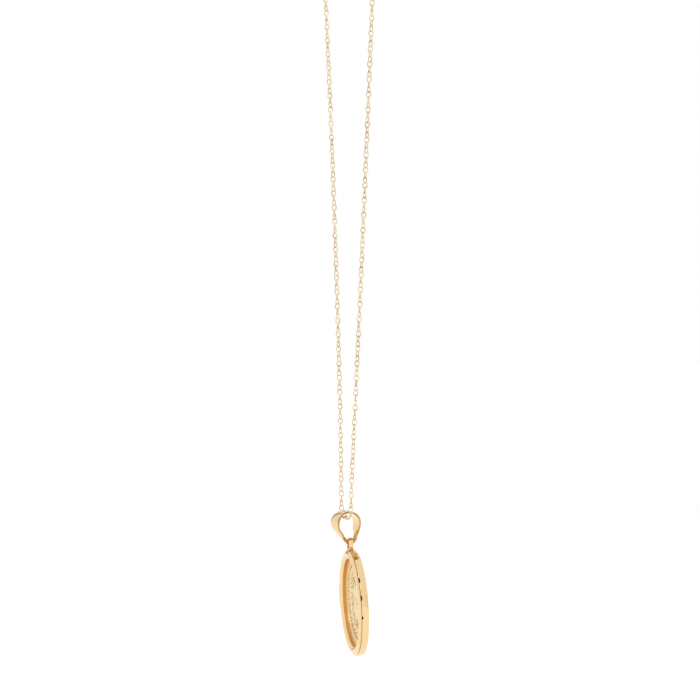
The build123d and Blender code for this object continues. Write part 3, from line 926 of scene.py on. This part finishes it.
def nicked(radius, height, angle):
    """Presses the nail nicks into the outer edge beside the parting line."""
    if radius < CASE_RADIUS - 0.3 or height < -NICK_HEIGHT:
        return radius, height
    turn = math.degrees(angle)
    turn = turn - 360 if turn > 180 else turn
    for at, length, depth in NICKS:
        away = abs(turn - at) * math.radians(1) * CASE_RADIUS / (length / 2)
        if away < 1:
            cut = depth * math.sqrt(1 - away * away)
            near = max(0.0, 1 - abs(height) / NICK_HEIGHT)
            radius -= cut * min(1.0, near * 2.6)
    return radius, height


def dome(edge_radius, edge_depth, depth, steps):
    """Points of a low dome's profile, from its edge in to its middle."""
    return [(radius, -depth + (depth - edge_depth) * (radius / edge_radius) ** 2)
            for radius in np.linspace(edge_radius, PINHOLE, steps + 1)]


def case_shell():
    """Side wall with a bevelled parting edge, rounded back edge and low domed back."""
    outer_dome = dome(12.08, 1.75, BACK_DEPTH, 24)
    lining = dome(11.62, 1.4, BACK_DEPTH - 0.35, 18)
    edge = []
    for step in range(9):
        turn = math.radians(80 * step / 9)
        edge.append((CASE_RADIUS - BACK_ROUNDING * (1 - math.cos(turn)),
                     -BACK_EDGE - BACK_ROUNDING * math.sin(turn)))
    bevel = [(12.36, -0.005), (12.40, -0.02), (12.46, -0.06), (12.49, -0.11)]
    wall = [(CASE_RADIUS, -depth) for depth in (0.17, 0.3, 0.45, 0.6, 0.9, 1.2)]
    inside = [(11.70, -1.38), (11.78, -1.33), (11.84, -1.26), (11.88, -1.18),
              (WALL_INSIDE, -1.05), (WALL_INSIDE, -0.5), (WALL_INSIDE, -0.08),
              (11.93, -0.02), (11.98, -0.005)]
    outline = bevel + wall + edge + outer_dome + lining[::-1] + inside
    return disc_lathe(outline, 540, nicked)


add_piece("case_shell", case_shell(), wall_gold, "case", "case_back")

# -------------------- lid
OPENING = 10.4
PLATE_BACK = -1.48
RECESS_OUTSIDE = 10.75
LIP_NOTCHES = 180
LIP_NOTCH_DEPTH = 0.07


def rim_profile():
    """The lid's rim: bevelled outer edge, low rounded dome, turned-in lip, flange underneath."""
    crest = []
    steps = 22
    for step in range(steps + 1):
        share = step / steps
        bulge = math.sin(math.pi * share) ** 0.85
        crest.append((CASE_RADIUS + (OPENING - CASE_RADIUS) * share,
                      0.16 - 0.04 * share + 0.48 * bulge))
    outer = [(12.36, 0.045), (12.40, 0.05), (12.46, 0.08), (12.49, 0.12)]
    lip = [(10.38, 0.10), (10.38, 0.04), (10.42, 0.0), (10.75, 0.0)]
    under = [(11.37, 0.04), (11.40, 0.0), (11.40, -0.7), (11.45, -0.75), (11.70, -0.75),
             (11.75, -0.70), (11.75, 0.0), (11.78, 0.04)]
    return outer + crest + lip + under


def milled(radius, height, angle):
    """A row of fine cut notches round the rim's inner lip."""
    if radius < 10.95 and height > 0.09:
        return radius, height - LIP_NOTCH_DEPTH * (1 + math.cos(angle * LIP_NOTCHES)) / 2
    return radius, height


def recess_profile():
    """The recess wall and the little step at its foot."""
    return subdivided([
        (10.41, 0.06), (10.41, -1.04), (10.38, -1.08), (10.04, -1.08), (10.0, -1.12),
        (10.0, PLATE_FACE), (RECESS_OUTSIDE, PLATE_FACE), (RECESS_OUTSIDE, 0.02),
    ], 0.12)


add_piece("lid_frame", disc_lathe(rim_profile(), 720, milled), rim_gold, "lid", "lid_rim")
add_piece("recess_wall", disc_lathe(recess_profile(), 360), recess_gold, "lid", "lid_rim")


# -------------------- relief
def leaf(x, y, centre_x, centre_y, turn, length, breadth, height):
    """A pointed leaf with a sunk middle vein, as heights over the points x, y."""
    east, north = x - centre_x, y - centre_y
    along = east * math.cos(turn) + north * math.sin(turn)
    across = north * math.cos(turn) - east * math.sin(turn)
    share = np.clip(along / (length / 2), -1, 1)
    edge = breadth / 2 * (1 - share * share) ** 0.8 + 1e-6
    inside = (np.abs(along) < length / 2) & (np.abs(across) < edge)
    roundness = np.sqrt(np.clip(1 - (across / edge) ** 2, 0, 1))
    body = height * roundness * (0.55 + 0.45 * np.cos(share * 1.2))
    vein = 0.28 * height * np.exp(-((across / (0.09 * breadth)) ** 2))
    return np.where(inside, np.clip(body - vein, 0, None), 0)


def dome_at(x, y, centre_x, centre_y, radius, height):
    """A round boss, as heights over the points x, y."""
    near = ((x - centre_x) ** 2 + (y - centre_y) ** 2) / radius**2
    return height * np.sqrt(np.clip(1 - near, 0, 1))


def round_rib(x, y, radius, width, height, power=2):
    """A raised ring, as heights over the points x, y."""
    return height * np.exp(-(((np.hypot(x, y) - radius) / width) ** power))


def wreath(x, y):
    """Laurel leaves in pairs along a round stem, growing upwards from the foot, with berries."""
    stem = 7.35
    pairs = 30
    shapes = [round_rib(x, y, stem, 0.16, 0.17)]
    for k in range(pairs):
        angle = 2 * math.pi * (k + 0.5) / pairs
        sign = 1 if math.cos(angle) >= 0 else -1
        growing = angle + sign * math.pi / 2
        for ring, spread in ((8.1, 0.5), (6.6, -0.5)):
            shapes.append(leaf(x, y, *polar(ring, angle), growing - sign * spread, 2.0, 0.9, 0.34))
        shapes.append(dome_at(x, y, *polar(stem, angle + math.pi / pairs), 0.3, 0.3))
    return np.maximum.reduce(shapes)


def flower(x, y):
    """Ten petals in two rows round a beaded heart, inside a plain ring."""
    petals = 10
    shapes = [round_rib(x, y, 5.45, 0.17, 0.22, power=4), dome_at(x, y, 0, 0, 0.85, 0.46)]
    for k in range(petals):
        outer = 2 * math.pi * k / petals
        inner = outer + math.pi / petals
        shapes += [
            leaf(x, y, *polar(3.3, outer), outer, 3.4, 1.9, 0.3),
            leaf(x, y, *polar(2.3, inner), inner, 2.4, 1.3, 0.36),
            dome_at(x, y, *polar(4.75, inner), 0.24, 0.2),
            dome_at(x, y, *polar(1.1, inner), 0.24, 0.4),
        ]
    return np.maximum.reduce(shapes)


def relief_mesh(rings=150, segments=600, edge=10.0):
    """The struck plate with its relief, and its plain border and back."""
    angles = 2 * math.pi * np.arange(segments) / segments
    radii = np.linspace(PINHOLE, edge, rings)[:, None]
    x, y = radii * np.cos(angles), radii * np.sin(angles)
    heights = np.maximum(wreath(x, y), flower(x, y))
    points = [on_disc(x[i, j], y[i, j], PLATE_FACE + heights[i, j])
              for i in range(rings) for j in range(segments)]
    faces = grid_faces(rings, segments, False, True)
    back = [(RECESS_OUTSIDE - 0.05, PLATE_FACE), (RECESS_OUTSIDE - 0.05, PLATE_BACK + 0.05),
            (PINHOLE, PLATE_BACK + 0.05)]
    rows = [(rings - 1) * segments]
    for radius, height in back:
        rows.append(len(points))
        points += [on_disc(*polar(radius, angle), height) for angle in angles]
    for start, end in zip(rows, rows[1:]):
        faces += [(start + j, end + j, end + (j + 1) % segments, start + (j + 1) % segments)
                  for j in range(segments)]
    faces.append(tuple(range(segments)))
    faces.append(tuple(rows[-1] + k for k in reversed(range(segments))))
    return points, faces


def plate_lining():
    """The polished sheet behind the relief, with turned grooves."""
    outline = [(PINHOLE, PLATE_BACK + 0.04), (RECESS_OUTSIDE, PLATE_BACK + 0.04),
               (RECESS_OUTSIDE, PLATE_BACK + 0.02), (10.7, PLATE_BACK)]
    for radius in (10.2, 9.9, 9.0, 8.7, 2.6, 2.3):
        outline += [(radius + 0.06, PLATE_BACK), (radius, PLATE_BACK + 0.025),
                    (radius - 0.06, PLATE_BACK)]
    outline.append((PINHOLE, PLATE_BACK))
    return disc_lathe(outline, 288)


BEADS = 66
BEAD_CIRCLE = 9.6
BEAD_RADIUS = 0.36
BEAD_TALL = 0.3


def bead_mesh():
    """The ring of round beads at the relief's edge, and the flat band they stand on."""
    band = disc_lathe([(9.99, PLATE_FACE + 0.01), (9.99, PLATE_FACE + 0.08),
                       (9.22, PLATE_FACE + 0.08), (9.2, PLATE_FACE + 0.01)], 288)
    profile = [(NEAR_AXIS, 0.0)]
    for step in range(7):
        turn = math.pi / 2 * step / 6
        profile.append((max(NEAR_AXIS, BEAD_RADIUS * math.sin(turn)), BEAD_TALL * math.cos(turn)))
    shells = [band]
    for k in range(BEADS):
        angle = 2 * math.pi * k / BEADS
        centre = on_disc(*polar(BEAD_CIRCLE, angle), PLATE_FACE + 0.07)
        shells.append(lathe(centre, FRONT, profile, 16))
    return merged(*shells)


add_piece("relief_disc", relief_mesh(), relief_gold, "lid", "relief_plate", slot="relief_gold")
add_piece("plate_lining", plate_lining(), inside_gold, "lid", "relief_plate", slot="relief_gold")
add_piece("bead_ring", bead_mesh(), relief_gold, "lid", "bead_border", slot="relief_gold")

# -------------------- hinge
KNUCKLE = 0.5
KNUCKLE_LENGTH = 1.6
KNUCKLE_STEP = 1.68
LEAF_REACH = 0.66
LEAF = 0.3
PIN = 0.2
PIN_HALF = 2.48
PIN_HEAD = (0.34, 0.12)     # radius and height of its riveted heads


def knuckle(height, side):
    """One knuckle with its leaf; side is 1 for the lid and -1 for the case."""
    leaf_turn = math.asin((KNUCKLE - LEAF) / KNUCKLE)
    turns = np.linspace(math.pi / 2, 2 * math.pi + leaf_turn, 21)
    outline = [polar(KNUCKLE, turn) for turn in turns]
    outline += [(LEAF_REACH, KNUCKLE - LEAF), (LEAF_REACH, KNUCKLE)]
    outline = [(x, -side * y) for x, y in outline]
    half = KNUCKLE_LENGTH / 2
    levels = [-half, -half + 0.05, 0, half - 0.05, half]
    spine = [(HINGE + UP * (height + level) * MM, SIDE, -FRONT) for level in levels]
    sections = inset_ends(outline, len(levels), 0.05)
    return sweep(spine, lambda k: sections[k])


def pin():
    """The hinge pin with its two riveted heads."""
    radius, height = PIN_HEAD
    head = [(max(NEAR_AXIS, radius * math.sin(turn)), PIN_HALF + height * math.cos(turn))
            for turn in np.linspace(0, math.pi / 2, 4)]
    half = head + [(PIN, PIN_HALF)]
    outline = [(x, -y) for x, y in half] + half[::-1]
    return lathe(HINGE, UP, outline, 32)


case_hinge = merged(knuckle(-KNUCKLE_STEP, -1), knuckle(KNUCKLE_STEP, -1))
add_piece("case_hinge", case_hinge, wall_gold, "case", "case_knuckles")
add_piece("lid_hinge_barrel", knuckle(0, 1), polished_gold, "lid", "lid_knuckle")
add_piece("hinge_rivet", pin(), clasp_gold, "case", "hinge_pin")


# -------------------- inside the case
RING_NOTCHES = 120
RING_NOTCH_DEPTH = 0.02


def photo_ring():
    """The ring that holds the window, its lip milled with fine notches."""
    outline = [(9.0, -1.84), (9.0, -1.67), (8.95, -1.63), (8.3, -1.62), (7.66, -1.62),
               (7.6, -1.66), (7.6, -1.715), (8.0, -1.72), (8.0, -1.94)]

    def notched(radius, height, angle):
        if 8.2 < radius < 8.97 and height > -1.64:
            return radius, height - RING_NOTCH_DEPTH * (1 + math.cos(angle * RING_NOTCHES)) / 2
        return radius, height

    return disc_lathe(outline, 720, notched)


def catch_bar(radius, thick, middle, tall, width):
    """A short curved bar across the catch side."""
    count = 21
    spread = math.degrees(width / 2 / radius)
    spine = arc_spine(on_disc(0, 0, middle), radius, SIDE, UP, -spread, spread, count)
    sections = inset_ends(band_section(thick, tall, thick * 0.3, 3), count, 0.03)
    return sweep(spine, lambda k: sections[k])


card = disc_lathe([(PINHOLE, -1.9), (7.97, -1.9), (7.99, -1.87), (7.97, -1.84),
                   (PINHOLE, -1.84)], 144)
pane = disc_lathe([(PINHOLE, -1.835), (7.95, -1.835), (7.98, -1.8), (7.98, -1.75),
                   (7.93, -1.725), (PINHOLE, -1.725)], 144)
add_piece("photo_print", card, photo_paper, "case", "photo_card", slot="photo_paper")
add_piece("window_pane", pane, window_glass, "case", "photo_window", slot="window")
add_piece("photo_ring", photo_ring(), polished_gold, "case", "photo_frame")
ridge = catch_bar(radius=11.87, thick=0.06, middle=-0.3, tall=0.2, width=3.2)
tongue = catch_bar(radius=11.78, thick=0.07, middle=-0.6, tall=0.2, width=2.6)
add_piece("catch_ridge", ridge, inside_gold, "case", "catch_strike")
add_piece("catch_lip", tongue, inside_gold, "lid", "catch_tongue")


# -------------------- stage and light
def plain_material(name, colour, glow):
    """Even matt board that may glow a little."""
    material, _, shader = node_material(name)
    shader.inputs["Base Color"].default_value = (*colour, 1)
    shader.inputs["Roughness"].default_value = 0.9
    shader.inputs["Emission Color"].default_value = (*colour, 1)
    shader.inputs["Emission Strength"].default_value = glow
    return material


def board(name, middle, half_right, half_up, material):
    """A flat board of the stage, from its middle out to half its width and height."""
    corners = [middle + half_right * x + half_up * y for x, y in ((-1, -1), (1, -1), (1, 1), (-1, 1))]
    piece = make_mesh(name, corners, [(0, 1, 2, 3)])
    piece.data.materials.append(material)


def flag(name, bearing, distance, width, height, material):
    """An upright board facing the locket; bearing is degrees round from the camera's side."""
    turn = math.radians(bearing)
    side = TOWARDS_CAMERA.cross(RISE)
    out = TOWARDS_CAMERA * math.cos(turn) + side * math.sin(turn)
    right = out.cross(RISE)
    board(name, DISC_CENTRE + out * distance, right * width / 2, RISE * height / 2, material)


def studio():
    """A white room; the metal mirrors two dark flags behind it and a warm card off to one side."""
    under_locket = Vector((0, 0, cad_bounds[0][2] - 0.02))
    floor_board = plain_material("pale_floor", (0.96, 0.96, 0.96), 0.12)
    dark_board = plain_material("dark_flag", (0.42, 0.34, 0.26), 0.0)
    warm_board = plain_material("warm_card", (0.62, 0.40, 0.25), 0.0)
    board("floor", under_locket, Vector((9, 0, 0)), Vector((0, 9, 0)), floor_board)
    for name, bearing in (("flag_left", 155), ("flag_right", -155)):
        flag(name, bearing, distance=0.7, width=0.12, height=0.9, material=dark_board)
    flag("warm_side", -40, distance=0.6, width=0.2, height=0.5, material=warm_board)
    world = bpy.data.worlds.new("studio")
    bpy.context.scene.world = world
    world.use_nodes = True
    background = world.node_tree.nodes["Background"]
    background.inputs["Color"].default_value = (1, 1, 1, 1)
    background.inputs["Strength"].default_value = 1.0


def soft_lamp(name, place, size, power):
    """A large soft lamp aimed at the locket."""
    data = bpy.data.lights.new(name, "AREA")
    data.size = size
    data.energy = power
    lamp = bpy.data.objects.new(name, data)
    lamp.location = place
    lamp.rotation_euler = (Vector(place) - DISC_CENTRE).to_track_quat("Z", "Y").to_euler()
    bpy.context.scene.collection.objects.link(lamp)


studio()
soft_lamp("key", (0.5, -0.3, 0.35), size=0.25, power=0.5)
bpy.context.scene.view_settings.view_transform = "Standard"
